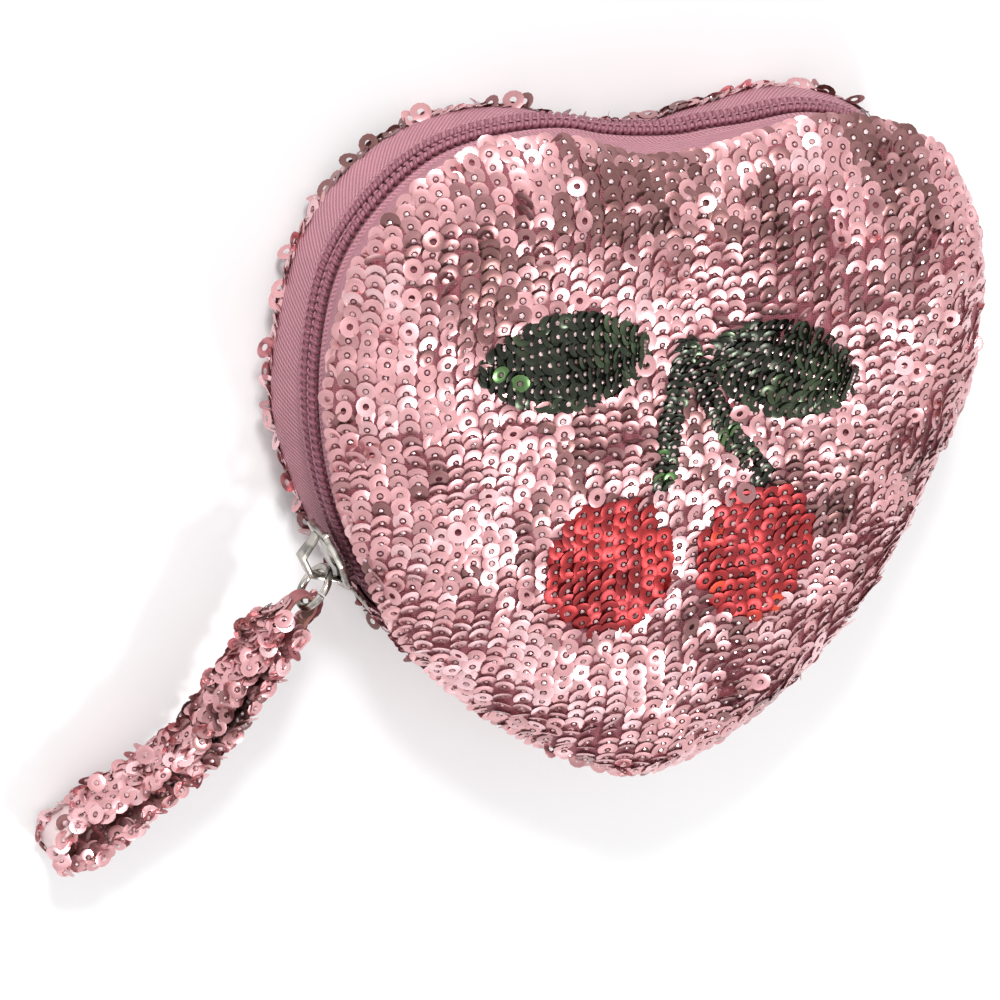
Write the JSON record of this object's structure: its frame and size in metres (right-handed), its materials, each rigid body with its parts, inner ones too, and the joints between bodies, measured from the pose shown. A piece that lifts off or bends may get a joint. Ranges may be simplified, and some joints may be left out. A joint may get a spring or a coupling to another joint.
{
  "type": "heart shaped purse",
  "caption": "Padded heart-shaped zip purse in pink sequin cloth with a sequin cherry motif, a zip round both lobes, a metal slider with a jump ring and a folded sequin strap.",
  "frame": {"origin": "on the flat resting face of the back, on the centre line of the heart, level with the middle of its height", "axes": "+Z out of the decorated front, +Y towards the dip between the lobes, +X to the right of someone who looks at the front"},
  "size_m": [0.1775, 0.1349, 0.0417],
  "materials": {
    "pink_sequin_cloth": "overlapping metallic pink sequins sewn on pink cloth",
    "red_sequins": "overlapping metallic red sequins",
    "green_sequins": "overlapping dark metallic green sequins",
    "lining": "plain woven satin lining",
    "wadding": "soft polyester wadding",
    "zip_tape": "twill woven zip tape",
    "zip_coil": "dyed nylon coil",
    "thread": "sewing thread",
    "bright_metal": "polished nickel plate"
  },
  "bodies": {
    "back": {"back_panel": "pink_sequin_cloth", "back_padding": "wadding", "back_lining": "lining", "lower_gusset": "pink_sequin_cloth", "gusset_lining": "lining", "front_panel_lower": "pink_sequin_cloth", "front_padding_lower": "wadding", "front_lining_lower": "lining", "front_fold": "pink_sequin_cloth", "back_zip_tape": "zip_tape", "front_zip_tape_ends": "zip_tape", "back_coil": "zip_coil", "front_coil_ends": "zip_coil", "closed_end_stops": "bright_metal", "open_end_stop": "bright_metal", "cherry_left": "red_sequins", "cherry_right": "red_sequins"},
    "front": {"front_panel": "pink_sequin_cloth", "front_padding": "wadding", "front_lining": "lining", "front_zip_tape": "zip_tape", "front_coil": "zip_coil", "leaf_left": "green_sequins", "leaf_right": "green_sequins", "stems": "green_sequins"},
    "slider": {"slider_body": "bright_metal", "slider_bridge": "bright_metal"},
    "ring": {"jump_ring": "bright_metal"},
    "strap": {"strap_band": "pink_sequin_cloth", "strap_tack": "thread"}
  },
  "joints": [
    {"name": "mouth_open", "type": "hinge", "parent": "back", "child": "front", "pos_m": [0, -0.00485, 0.029], "axis": [1, 0, 0], "range_deg": [0, 35], "deforming": ["front_fold"]},
    {"name": "slider_travel", "type": "hinge", "parent": "back", "child": "slider", "pos_m": [0.012, 0.01831, 0.0185], "axis": [0, 0, 1], "range_deg": [-33, 0]},
    {"name": "ring_swing", "type": "hinge", "parent": "slider", "child": "ring", "pos_m": [-0.05992, -0.0158, 0.0185], "axis": [0, 0, 1], "range_deg": [-60, 40]},
    {"name": "strap_swing", "type": "hinge", "parent": "ring", "child": "strap", "pos_m": [-0.06496, -0.02226, 0.0185], "axis": [0, 0, 1], "range_deg": [-25, 25]}
  ]
}
